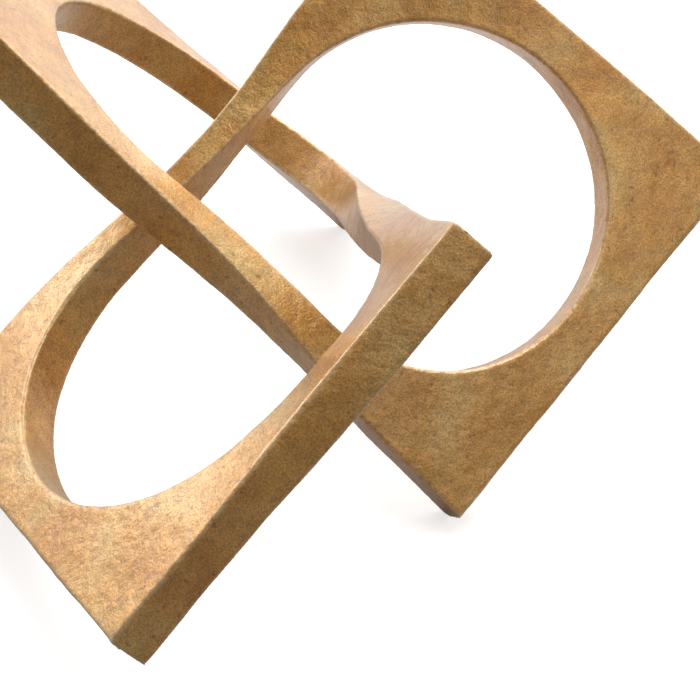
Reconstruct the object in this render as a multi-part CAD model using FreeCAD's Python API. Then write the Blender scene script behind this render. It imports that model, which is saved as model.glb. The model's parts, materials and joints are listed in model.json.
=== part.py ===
import FreeCAD, Part
import math
import os

# A knot sculpture: one endless rectangular bar, tied in a trefoil with nine square corners.
# Each lobe of the knot has a low, an outer and a high corner round one large round hole, and a
# twisted arm leads from its high corner to the low corner of the next lobe.
# Every corner is one casting that ends halfway along its two sides, where a steel dowel joins it
# to its neighbour. Lengths are in millimetres, angles in degrees. +Z is up.

# The bar
bar_width = 20.5
bar_thickness = 20.0
hole_radius = 74.6
edge_round = 1.6

# Where the corners stand round the knot's upright axis
outer_reach = 206.0
inner_reach = 125.0
corner_rise = 87.0
corner_spread_angle = 53.4
lobe_turn = -120.0
knot_heading = 14.0

# The steel dowels in the joints, and the flats ground under the three low corners
dowel_radius = 4.0
dowel_length = 32.0
dowel_chamfer = 0.6
dowel_clearance = 0.05
dowel_end_room = 0.5
foot_cut = 3.0

# The knot was set up by eye, so each corner stands a little off its true place: outwards,
# sideways and upwards, in shares of a lobe's side.
LOBES = ("right", "front", "left")
CORNERS = ("low", "outer", "high")
SET_OFF_SHARES = {
    "right": {"low": (-0.07, 0.01, 0.025), "outer": (-0.05, 0.03, 0.005), "high": (-0.06, -0.01, 0.05)},
    "front": {"low": (0.12, -0.045, 0.06), "outer": (0.045, 0.165, -0.10), "high": (0.0, 0.015, 0.0)},
    "left": {"low": (-0.035, -0.025, -0.055), "outer": (0.005, -0.175, 0.015), "high": (0.08, -0.06, -0.025)},
}

# How far the outer wall of a lobe's arm is drawn in at its waist, in shares of the bar's width
WAIST_SHARES = {"right": 0.4, "front": 0.0, "left": 0.2}

# How a half bar's sections are spread over its round part and over its straight part
ROUND_SHARES = (1.0, 0.8, 0.6, 0.4, 0.2)
STRAIGHT_SHARES = (0.0, 0.25, 0.5, 0.75, 1.0)
wall_degree = 3

lobe_side = 2 * (bar_width + hole_radius)
half_thickness = bar_thickness / 2
overrun = outer_reach * 2
hair = edge_round / 100
measure_step = edge_round / 30

UP = FreeCAD.Vector(0, 0, 1)
ALONG = FreeCAD.Vector(1, 0, 0)


def corner_places():
    """The nine outer corners, on the middle of the bar's thickness, in the order of the loop."""
    true_places = {
        "low": (inner_reach, -corner_spread_angle, -corner_rise),
        "outer": (outer_reach, 0, 0),
        "high": (inner_reach, corner_spread_angle, corner_rise),
    }
    places = []
    for index, lobe in enumerate(LOBES):
        outwards = FreeCAD.Rotation(UP, index * lobe_turn).multVec(ALONG)
        sideways = UP.cross(outwards)
        for corner in CORNERS:
            reach, spread, height = true_places[corner]
            out_share, side_share, up_share = SET_OFF_SHARES[lobe][corner]
            place = FreeCAD.Rotation(UP, index * lobe_turn + spread).multVec(ALONG) * reach
            place = place + UP * height + outwards * (out_share * lobe_side)
            places.append(place + sideways * (side_share * lobe_side) + UP * (up_share * lobe_side))
    return places


def side_way(places, index):
    """The direction of the side that leaves a corner."""
    return (places[(index + 1) % len(places)] - places[index]).normalize()


def corner_face(places, index):
    """The direction square to the flat of a corner."""
    return side_way(places, index - 1).cross(side_way(places, index)).normalize()


def low_point(places, index):
    """The lower end of a corner's outer edge."""
    edge = corner_face(places, index) * half_thickness
    ends = (places[index] - edge, places[index] + edge)
    return min(ends, key=lambda end: end.z)


def stand_up(places):
    """Turns and lowers the loop until z = 0 cuts its three low corners alike."""
    feet = [low_point(places, index * len(CORNERS)) for index in range(len(LOBES))]
    ground_normal = (feet[1] - feet[0]).cross(feet[2] - feet[0])
    if ground_normal.z < 0:
        ground_normal = ground_normal * -1
    turn = FreeCAD.Rotation(UP, knot_heading).multiply(FreeCAD.Rotation(ground_normal, UP))
    drop = -turn.multVec(feet[0]).z - foot_cut
    return [turn.multVec(place) + UP * drop for place in places]


class Side:
    """One side of the loop: where its outer wall runs and how it turns from corner to corner."""

    def __init__(self, places, index):
        following = (index + 1) % len(places)
        self.start = places[index]
        self.length = (places[following] - places[index]).Length
        self.way = side_way(places, index)
        self.face = corner_face(places, index)
        last_face = corner_face(places, following)
        self.turn = math.degrees(math.atan2(self.way.dot(self.face.cross(last_face)), self.face.dot(last_face)))
        lobe, corner = divmod(index, len(CORNERS))
        leads_on = CORNERS[corner] == "high"
        self.waist = WAIST_SHARES[LOBES[lobe]] * bar_width if leads_on else 0

    def face_at(self, distance, begin, end):
        """The direction square to the bar's face, which turns between two distances."""
        share = min(max((distance - begin) / (end - begin), 0), 1)
        eased = share * share * (3 - 2 * share)
        return FreeCAD.Rotation(self.way, self.turn * eased).multVec(self.face)

    def drawn_in(self, distance, begin, end):
        """How far the outer wall stands inside the straight line between its corners."""
        share = min(max((distance - begin) / (end - begin), 0), 1)
        return self.waist * math.sin(math.pi * share) ** 2


class Corner:
    """The round inside of one corner, kept within half of its shorter side."""

    def __init__(self, places, index):
        arriving = places[index] - places[index - 1]
        leaving = places[(index + 1) % len(places)] - places[index]
        self.half_turn = arriving.getAngle(leaving) / 2
        shorter = min(arriving.Length, leaving.Length) / 2
        self.radius = min(hole_radius, shorter / math.tan(self.half_turn) - bar_width)
        self.centre_depth = bar_width + self.radius
        self.round_reach = self.centre_depth * math.tan(self.half_turn)
        self.flat_reach = self.round_reach - self.radius * math.sin(self.half_turn)


def bar_section(side, corners, reversed_side, outer_distance, inner_distance, depth, lean):
    """The bar's outline across one place, with softened edges. Distances start at one corner."""
    near, far = corners
    begin = near.flat_reach
    end = side.length - far.flat_reach
    spots = []
    for distance, inwards in ((outer_distance, 0), (inner_distance, depth)):
        if reversed_side:
            distance = side.length - distance
        inwards = max(inwards, side.drawn_in(distance, begin, end))
        face = side.face_at(distance, begin, end)
        base = side.start + side.way * distance + face.cross(side.way) * inwards
        spots.append((base + face * half_thickness, base - face * half_thickness))
    (outer_top, outer_bottom), (inner_top, inner_bottom) = spots
    ring = [outer_top, outer_bottom, inner_bottom, inner_top]
    softened = []
    for place in range(len(ring)):
        spot = ring[place]
        before = (ring[place - 1] - spot).normalize()
        after = (ring[(place + 1) % len(ring)] - spot).normalize()
        along_wall = edge_round / math.cos(lean) if place < 2 else edge_round
        back = edge_round if place % 2 else along_wall
        ahead = along_wall if place % 2 else edge_round
        bulge = (before * back + after * ahead) * (1 - math.sqrt(0.5))
        softened.append((spot + before * back, spot + bulge, spot + after * ahead))
    edges = []
    for place, (arrive, middle, leave) in enumerate(softened):
        following = softened[(place + 1) % len(softened)][0]
        edges.append(Part.Arc(arrive, middle, leave).toShape())
        edges.append(Part.LineSegment(leave, following).toShape())
    return Part.Wire(edges)


def half_bar(side, corners, reversed_side):
    """The walls of half a side, from the middle of a corner to the joint, and the joint's face."""
    corner = corners[1] if reversed_side else corners[0]
    sections = []
    for share in ROUND_SHARES:
        lean = corner.half_turn * share
        outer_distance = corner.round_reach - corner.centre_depth * math.tan(lean)
        inner_distance = corner.round_reach - corner.radius * math.sin(lean)
        depth = corner.centre_depth - corner.radius * math.cos(lean)
        sections.append(bar_section(side, corners, reversed_side, outer_distance, inner_distance, depth, lean))
    straight = side.length / 2 - corner.round_reach
    shares = STRAIGHT_SHARES if straight > bar_width else STRAIGHT_SHARES[-1:]
    for share in shares:
        distance = corner.round_reach + straight * share
        sections.append(bar_section(side, corners, reversed_side, distance, distance, bar_width, 0))
    walls = Part.makeLoft(sections, False, False, False, wall_degree)
    return walls.Faces + [Part.Face(sections[-1])]


def joint(side, corners):
    """The middle of the joint face halfway along a side, and the way the bar runs there."""
    middle = side.length / 2
    begin = corners[0].flat_reach
    end = side.length - corners[1].flat_reach
    inwards = side.face_at(middle, begin, end).cross(side.way)
    depth = (side.drawn_in(middle, begin, end) + bar_width) / 2
    return side.start + side.way * middle + inwards * depth, side.way


def dowel_bore(middle, direction):
    """The blind hole for a dowel's half, from a joint face into one casting."""
    radius = dowel_radius + dowel_clearance
    return Part.makeCylinder(radius, dowel_length / 2 + dowel_end_room, middle, direction)


def make_dowel(middle, direction):
    dowel = Part.makeCylinder(dowel_radius, dowel_length, middle - direction * (dowel_length / 2), direction)
    rims = [edge for edge in dowel.Edges if isinstance(edge.Curve, Part.Circle)]
    return dowel.makeChamfer(dowel_chamfer, rims)


def make_casting(arriving, arriving_corners, leaving, leaving_corners):
    """One corner of the knot: two half bars in one piece, bored for its two dowels."""
    walls = half_bar(arriving, arriving_corners, True) + half_bar(leaving, leaving_corners, False)
    skin = Part.makeCompound(walls)
    skin.sewShape()
    casting = Part.makeSolid(skin.Shells[0])
    if casting.Volume < 0:
        casting.reverse()
    middle, way = joint(arriving, arriving_corners)
    casting = casting.cut(dowel_bore(middle, way))
    middle, way = joint(leaving, leaving_corners)
    casting = casting.cut(dowel_bore(middle, way * -1))
    ground = Part.makeBox(overrun * 2, overrun * 2, overrun, FreeCAD.Vector(-overrun, -overrun, -overrun))
    return casting.cut(ground).Solids[0]


def make_knot():
    places = stand_up(corner_places())
    count = len(places)
    names = [lobe + "_" + corner + "_corner" for lobe in LOBES for corner in CORNERS]
    sides = [Side(places, index) for index in range(count)]
    corners = [Corner(places, index) for index in range(count)]
    ends = [(corners[index], corners[(index + 1) % count]) for index in range(count)]
    pieces = {}
    for index, name in enumerate(names):
        pieces[name] = make_casting(sides[index - 1], ends[index - 1], sides[index], ends[index])
        middle, way = joint(sides[index], ends[index])
        pieces[name.replace("_corner", "_dowel")] = make_dowel(middle, way)
        print(name, "side", round(sides[index].length, 1), "turns", round(sides[index].turn, 1))
    return pieces


def centre_on_floor(pieces):
    """Moves the knot sideways so that the middle of its box is over the origin."""
    spots = [spot for shape in pieces.values() for spot in shape.tessellate(measure_step)[0]]
    left, right = min(spot.x for spot in spots), max(spot.x for spot in spots)
    front, back = min(spot.y for spot in spots), max(spot.y for spot in spots)
    shift = FreeCAD.Vector(-(left + right) / 2, -(front + back) / 2, 0)
    for shape in pieces.values():
        shape.translate(shift)
    top = max(spot.z for spot in spots)
    print("box", round(right - left, 2), round(back - front, 2), round(top, 2))
    print("shift", round(shift.x, 3), round(shift.y, 3))


def say_feet(pieces):
    """Prints where the flats under the low corners lie."""
    for lobe in LOBES:
        for face in pieces[lobe + "_low_corner"].Faces:
            if abs(face.BoundBox.ZMax) < hair:
                middle = face.CenterOfMass
                print(lobe, "foot", round(middle.x, 2), round(middle.y, 2), "area", round(face.Area, 2))


knot = make_knot()
centre_on_floor(knot)
say_feet(knot)
os.makedirs("parts", exist_ok=True)
for node, solid in knot.items():
    print(node, len(solid.Solids), "solid", "valid", solid.isValid(), "volume", round(solid.Volume))
    solid.exportStep("parts/" + node + ".step")
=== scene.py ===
import bpy
import bmesh
import json
import math
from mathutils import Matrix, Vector
from mathutils.bvhtree import BVHTree

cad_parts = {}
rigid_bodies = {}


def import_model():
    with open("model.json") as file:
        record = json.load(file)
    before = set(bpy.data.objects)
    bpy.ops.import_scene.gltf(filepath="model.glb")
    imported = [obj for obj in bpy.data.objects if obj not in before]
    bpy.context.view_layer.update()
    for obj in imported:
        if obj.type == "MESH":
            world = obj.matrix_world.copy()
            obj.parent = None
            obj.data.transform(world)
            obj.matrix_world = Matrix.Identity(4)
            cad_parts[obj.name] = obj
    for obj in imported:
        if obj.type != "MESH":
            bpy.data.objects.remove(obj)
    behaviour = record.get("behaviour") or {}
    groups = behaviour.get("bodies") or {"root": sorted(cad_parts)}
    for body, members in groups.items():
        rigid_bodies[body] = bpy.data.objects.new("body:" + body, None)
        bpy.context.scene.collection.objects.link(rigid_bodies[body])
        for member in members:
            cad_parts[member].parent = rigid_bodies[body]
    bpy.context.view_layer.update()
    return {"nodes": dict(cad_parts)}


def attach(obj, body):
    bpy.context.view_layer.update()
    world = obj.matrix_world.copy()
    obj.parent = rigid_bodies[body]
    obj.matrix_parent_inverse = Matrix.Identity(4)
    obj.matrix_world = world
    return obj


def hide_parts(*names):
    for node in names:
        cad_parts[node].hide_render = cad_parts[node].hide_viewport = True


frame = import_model()


# The nine corner castings.
# Sand-cast aluminium bars, joined end to end on hidden dowels and ground flush, so that the knot
# looks like one endless bar. The skin is therefore made in one piece and then parted at the joints.

lobes = ("right", "front", "left")
corners = ("low", "outer", "high")
castings = [lobe + "_" + corner + "_corner" for lobe in lobes for corner in corners]


def pick(obj):
    bpy.ops.object.select_all(action="DESELECT")
    obj.select_set(True)
    bpy.context.view_layer.objects.active = obj


def copy_castings():
    """All nine castings as one object, and for each of its faces the casting that it came from."""
    copies = []
    owners = []
    for name in castings:
        pick(frame["nodes"][name])
        bpy.ops.object.duplicate()
        copy = bpy.context.view_layer.objects.active
        copies.append(copy)
        owners += [name] * len(copy.data.polygons)
    bpy.ops.object.select_all(action="DESELECT")
    for copy in copies:
        copy.select_set(True)
    bpy.context.view_layer.objects.active = copies[0]
    bpy.ops.object.join()
    skin = bpy.context.view_layer.objects.active
    skin.name = "knot_skin"
    return skin, owners


def apply(obj, kind, **values):
    pick(obj)
    change = obj.modifiers.new(kind, kind)
    for key, value in values.items():
        setattr(change, key, value)
    bpy.ops.object.modifier_apply(modifier=change.name)


def keep_outer_skin(obj):
    """Drops what the remesh leaves of the joint faces and bores inside the bar."""
    mesh = bmesh.new()
    mesh.from_mesh(obj.data)
    unseen = set(mesh.verts)
    islands = []
    while unseen:
        start = unseen.pop()
        island = [start]
        stack = [start]
        while stack:
            for edge in stack.pop().link_edges:
                for end in edge.verts:
                    if end in unseen:
                        unseen.remove(end)
                        island.append(end)
                        stack.append(end)
        islands.append(island)
    islands.sort(key=len)
    for island in islands[:-1]:
        bmesh.ops.delete(mesh, geom=island, context="VERTS")
    mesh.to_mesh(obj.data)
    mesh.free()
    return len(islands)


def cast_surface(name, size, depth):
    """A cloud texture for the uneven surface that sand leaves on a casting."""
    cloud = bpy.data.textures.new(name, "CLOUDS")
    cloud.noise_scale = size
    cloud.noise_depth = depth
    return cloud


def part_skin(skin, tree, owners):
    """Splits the skin into one piece for each casting, along the joints."""
    for index, name in enumerate(castings):
        skin.data.materials.append(bpy.data.materials.new("part_" + name))
    places = {name: index for index, name in enumerate(castings)}
    for face in skin.data.polygons:
        hit = tree.find_nearest(face.center)
        face.material_index = places[owners[hit[2]]]
    others = set(bpy.data.objects) - {skin}
    pick(skin)
    bpy.ops.object.mode_set(mode="EDIT")
    bpy.ops.mesh.select_all(action="SELECT")
    bpy.ops.mesh.separate(type="MATERIAL")
    bpy.ops.object.mode_set(mode="OBJECT")
    pieces = {}
    for piece in set(bpy.data.objects) - others:
        mark = piece.data.materials[piece.data.polygons[0].material_index]
        name = mark.name.replace("part_", "")
        piece.data.materials.clear()
        piece.name = name.replace("_corner", "_casting")
        piece.data.name = piece.name
        pieces[name] = piece
    return pieces


skin, owners = copy_castings()
skin.data.materials.clear()
tree = BVHTree.FromPolygons([v.co.copy() for v in skin.data.vertices], [list(p.vertices) for p in skin.data.polygons])
apply(skin, "WELD", merge_threshold=0.00001)
apply(skin, "REMESH", mode="VOXEL", voxel_size=0.001)
print("islands", keep_outer_skin(skin), "faces", len(skin.data.polygons))
apply(skin, "SMOOTH", factor=0.5, iterations=3)
apply(skin, "DISPLACE", texture=cast_surface("hand_finish", 0.035, 1), strength=0.001, mid_level=1.0)
apply(skin, "DISPLACE", texture=cast_surface("sand_marks", 0.005, 1), strength=0.00025, mid_level=1.0)
pick(skin)
bpy.ops.object.shade_smooth()
pieces = part_skin(skin, tree, owners)


# The antique gold finish.
# A gold-coloured metal coat over the sandy casting, dulled brown in its pits, with a pale highlight
# painted along the edges.

def node(tree, kind, links=(), **values):
    """A shader node. Each link is (from node, its output, this node's input)."""
    made = tree.nodes.new(kind)
    for key, value in values.items():
        if key.startswith("in_"):
            made.inputs[key[3:].replace("_", " ")].default_value = value
        else:
            setattr(made, key, value)
    for source, output, entry in links:
        tree.links.new(source.outputs[output], made.inputs[entry])
    return made


def ramp(tree, source, output, stops):
    made = node(tree, "ShaderNodeValToRGB", [(source, output, "Fac")])
    elements = made.color_ramp.elements
    elements[0].position, elements[0].color = stops[0]
    elements[1].position, elements[1].color = stops[-1]
    for position, colour in stops[1:-1]:
        elements.new(position).color = colour
    return made


def mixed(tree, factor, factor_out, first, second, kind="MIX", amount=None):
    """A colour mix. first and second are (node, output) or a colour."""
    made = tree.nodes.new("ShaderNodeMix")
    made.data_type = "RGBA"
    made.blend_type = kind
    if factor is None:
        made.inputs[0].default_value = amount
    else:
        tree.links.new(factor.outputs[factor_out], made.inputs[0])
    for entry, value in ((6, first), (7, second)):
        if isinstance(value[0], bpy.types.Node):
            tree.links.new(value[0].outputs[value[1]], made.inputs[entry])
        else:
            made.inputs[entry].default_value = value
    return made


def gold_finish():
    material = bpy.data.materials.new("antique_gold")
    material.use_nodes = True
    tree = material.node_tree
    shader = tree.nodes["Principled BSDF"]
    place = node(tree, "ShaderNodeTexCoord")
    patches = node(tree, "ShaderNodeTexNoise", [(place, "Object", "Vector")], in_Scale=34.0, in_Detail=4.0)
    clouds = node(tree, "ShaderNodeTexNoise", [(place, "Object", "Vector")], in_Scale=150.0, in_Detail=3.0)
    pits = node(tree, "ShaderNodeTexNoise", [(place, "Object", "Vector")], in_Scale=360.0, in_Detail=3.0, in_Roughness=0.6)
    grain = node(tree, "ShaderNodeTexNoise", [(place, "Object", "Vector")], in_Scale=1350.0, in_Detail=2.0)
    shape = node(tree, "ShaderNodeNewGeometry")
    base = ramp(tree, patches, "Fac", [(0.30, (0.56, 0.25, 0.04, 1)), (0.5, (0.66, 0.345, 0.08, 1)), (0.70, (0.68, 0.43, 0.145, 1))])
    cloud_tone = ramp(tree, clouds, "Fac", [(0.35, (0.88, 0.87, 0.86, 1)), (0.65, (1.08, 1.08, 1.1, 1))])
    clouded = mixed(tree, None, 0, (base, 0), (cloud_tone, 0), "MULTIPLY", 1.0)
    pit_dark = ramp(tree, pits, "Fac", [(0.29, (0.60, 0.57, 0.58, 1)), (0.38, (1, 1, 1, 1))])
    pitted = mixed(tree, None, 0, (clouded, 2), (pit_dark, 0), "MULTIPLY", 1.0)
    grain_tone = ramp(tree, grain, "Fac", [(0.38, (0.78, 0.76, 0.73, 1)), (0.62, (1.2, 1.22, 1.26, 1))])
    grained = mixed(tree, None, 0, (pitted, 2), (grain_tone, 0), "MULTIPLY", 1.0)
    # Painted highlight: a pale cream colour along the sharp edges, broken up by the pit noise and mixed over the base
    # colour.
    edge_mask = ramp(tree, shape, "Pointiness", [(0.508, (0, 0, 0, 1)), (0.548, (1, 1, 1, 1))])
    highlight_gaps = ramp(tree, pits, "Fac", [(0.40, (0.4, 0.4, 0.4, 1)), (0.55, (1, 1, 1, 1))])
    edge_highlight_mask = mixed(tree, None, 0, (edge_mask, 0), (highlight_gaps, 0), "MULTIPLY", 1.0)
    edge_highlighted = mixed(tree, edge_highlight_mask, 2, (grained, 2), (0.80, 0.62, 0.38, 1))
    tree.links.new(edge_highlighted.outputs[2], shader.inputs["Base Color"])
    shader.inputs["Metallic"].default_value = 0.7
    shader.inputs["Specular IOR Level"].default_value = 0.8
    shader.inputs["Coat Weight"].default_value = 0.9
    shader.inputs["Coat Roughness"].default_value = 0.28
    shader.inputs["Coat IOR"].default_value = 1.55
    shader.inputs["Sheen Weight"].default_value = 0.12
    shader.inputs["Sheen Tint"].default_value = (0.96, 0.94, 1.0, 1)
    shader.inputs["Sheen Roughness"].default_value = 0.3
    rough = ramp(tree, pits, "Fac", [(0.3, (0.55, 0.55, 0.55, 1)), (0.7, (0.34, 0.34, 0.34, 1))])
    tree.links.new(rough.outputs[0], shader.inputs["Roughness"])
    waves = node(tree, "ShaderNodeBump", [(clouds, "Fac", "Height")], in_Strength=0.4, in_Distance=0.0006)
    dents = node(tree, "ShaderNodeBump", [(pits, "Fac", "Height"), (waves, "Normal", "Normal")], in_Strength=0.5, in_Distance=0.00045)
    grit = node(tree, "ShaderNodeBump", [(grain, "Fac", "Height"), (dents, "Normal", "Normal")], in_Strength=0.6, in_Distance=0.0002)
    tree.links.new(grit.outputs["Normal"], shader.inputs["Normal"])
    tree.links.new(dents.outputs["Normal"], shader.inputs["Coat Normal"])
    return material


gold = gold_finish()
for name, piece in pieces.items():
    piece.data.materials.append(gold)
    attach(piece, "root")
    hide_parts(name)


# The nine steel dowels.
# Plain ground pins, sealed in the joints between the castings. They don't show.

def steel_finish():
    material = bpy.data.materials.new("ground_steel")
    material.use_nodes = True
    tree = material.node_tree
    shader = tree.nodes["Principled BSDF"]
    place = node(tree, "ShaderNodeTexCoord")
    marks = node(tree, "ShaderNodeTexNoise", [(place, "Object", "Vector")], in_Scale=900.0, in_Detail=3.0)
    tone = ramp(tree, marks, "Fac", [(0.3, (0.50, 0.50, 0.51, 1)), (0.7, (0.62, 0.62, 0.62, 1))])
    tree.links.new(tone.outputs[0], shader.inputs["Base Color"])
    shader.inputs["Metallic"].default_value = 1.0
    shader.inputs["Roughness"].default_value = 0.35
    scratches = node(tree, "ShaderNodeBump", [(marks, "Fac", "Height")], in_Strength=0.2, in_Distance=0.0001)
    tree.links.new(scratches.outputs["Normal"], shader.inputs["Normal"])
    return material


steel = steel_finish()
for name in castings:
    dowel = frame["nodes"][name.replace("_corner", "_dowel")]
    dowel.data.materials.clear()
    dowel.data.materials.append(steel)


# Floor, light and camera.
# The photograph has a plain white ground, bright from behind and from the upper left.

def white_floor():
    bpy.ops.mesh.primitive_plane_add(size=14, location=(0, 0, 0))
    floor = bpy.context.view_layer.objects.active
    floor.name = "floor"
    material = bpy.data.materials.new("white_ground")
    material.use_nodes = True
    tree = material.node_tree
    shader = tree.nodes["Principled BSDF"]
    place = node(tree, "ShaderNodeTexCoord")
    # Painted shade: for all rays except camera rays, the floor's colour is dark at the front and pale at the back, so
    # its bounce light and its reflections in the gold fall off towards the front.
    parts = node(tree, "ShaderNodeSeparateXYZ", [(place, "Object", "Vector")])
    back = node(tree, "ShaderNodeMapRange", [(parts, "Y", "Value")], in_From_Min=-0.25, in_From_Max=0.45)
    tone = ramp(tree, back, "Result", [(0.0, (0.25, 0.25, 0.25, 1)), (1.0, (0.9, 0.9, 0.92, 1))])
    tree.links.new(tone.outputs[0], shader.inputs["Base Color"])
    shader.inputs["Roughness"].default_value = 0.9
    shader.inputs["Specular IOR Level"].default_value = 0.1
    paper = node(tree, "ShaderNodeBsdfDiffuse", in_Color=(0.75, 0.75, 0.75, 1))
    glow = node(tree, "ShaderNodeEmission", in_Color=(1, 1, 1, 1), in_Strength=0.62)
    lit = node(tree, "ShaderNodeAddShader", [(paper, "BSDF", 0), (glow, "Emission", 1)])
    path = node(tree, "ShaderNodeLightPath")
    both = node(tree, "ShaderNodeMixShader", [(path, "Is Camera Ray", 0), (shader, "BSDF", 1), (lit, "Shader", 2)])
    tree.links.new(both.outputs["Shader"], tree.nodes["Material Output"].inputs["Surface"])
    floor.data.materials.append(material)


def soft_lamp(name, place, aim, size, power):
    bpy.ops.object.light_add(type="AREA", location=place)
    lamp = bpy.context.view_layer.objects.active
    lamp.name = name
    lamp.data.size = size
    lamp.data.energy = power
    lamp.rotation_euler = (Vector(aim) - Vector(place)).to_track_quat("-Z", "Y").to_euler()
    return lamp


def studio_world():
    world = bpy.context.scene.world or bpy.data.worlds.new("studio")
    bpy.context.scene.world = world
    world.use_nodes = True
    tree = world.node_tree
    tree.nodes.clear()
    way = node(tree, "ShaderNodeTexCoord")
    parts = node(tree, "ShaderNodeSeparateXYZ", [(way, "Generated", "Vector")])
    back = ramp(tree, node(tree, "ShaderNodeMapRange", [(parts, "Y", "Value")], in_From_Min=-1.0, in_From_Max=1.0), "Result",
                [(0.22, (0.2, 0.19, 0.18, 1)), (0.55, (0.5, 0.5, 0.5, 1)), (0.85, (1.5, 1.5, 1.56, 1))])
    light = node(tree, "ShaderNodeBackground", [(back, 0, "Color")], in_Strength=1.0)
    seen = node(tree, "ShaderNodeBackground", in_Color=(1, 1, 1, 1), in_Strength=1.0)
    path = node(tree, "ShaderNodeLightPath")
    both = node(tree, "ShaderNodeMixShader", [(path, "Is Camera Ray", 0), (light, 0, 1), (seen, 0, 2)])
    node(tree, "ShaderNodeOutputWorld", [(both, 0, "Surface")])


def photo_camera():
    bpy.ops.object.camera_add(location=(0.0109, -0.70417, 0.61677))
    camera = bpy.context.view_layer.objects.active
    ahead = Vector((-0.0032, 0.7749, -0.632)).normalized()
    up = Vector((-0.114, 0.6276, 0.7701))
    right = ahead.cross(up).normalized()
    up = right.cross(ahead)
    turn = camera.matrix_world.to_3x3()
    for row in range(3):
        turn[row][0], turn[row][1], turn[row][2] = right[row], up[row], -ahead[row]
    camera.rotation_euler = turn.to_euler()
    camera.data.sensor_width = 36
    camera.data.lens = 2179 / 700 * 36
    camera.data.clip_start = 0.01
    bpy.context.scene.camera = camera


white_floor()
soft_lamp("key_left_back", (-1.3, 0.73, 0.55), (-0.03, -0.1, 0.1), 0.45, 2.4)
soft_lamp("right_front", (0.69, -0.9, 1.24), (0.08, 0.04, 0.1), 0.7, 1.5)
soft_lamp("top_light", (0.2, 0.1, 1.7), (0, 0, 0.1), 1.0, 9.5)
soft_lamp("back_light", (0.3, 1.5, 1.2), (0, 0, 0.1), 1.4, 10)
studio_world()
photo_camera()
bpy.context.scene.view_settings.view_transform = "Standard"
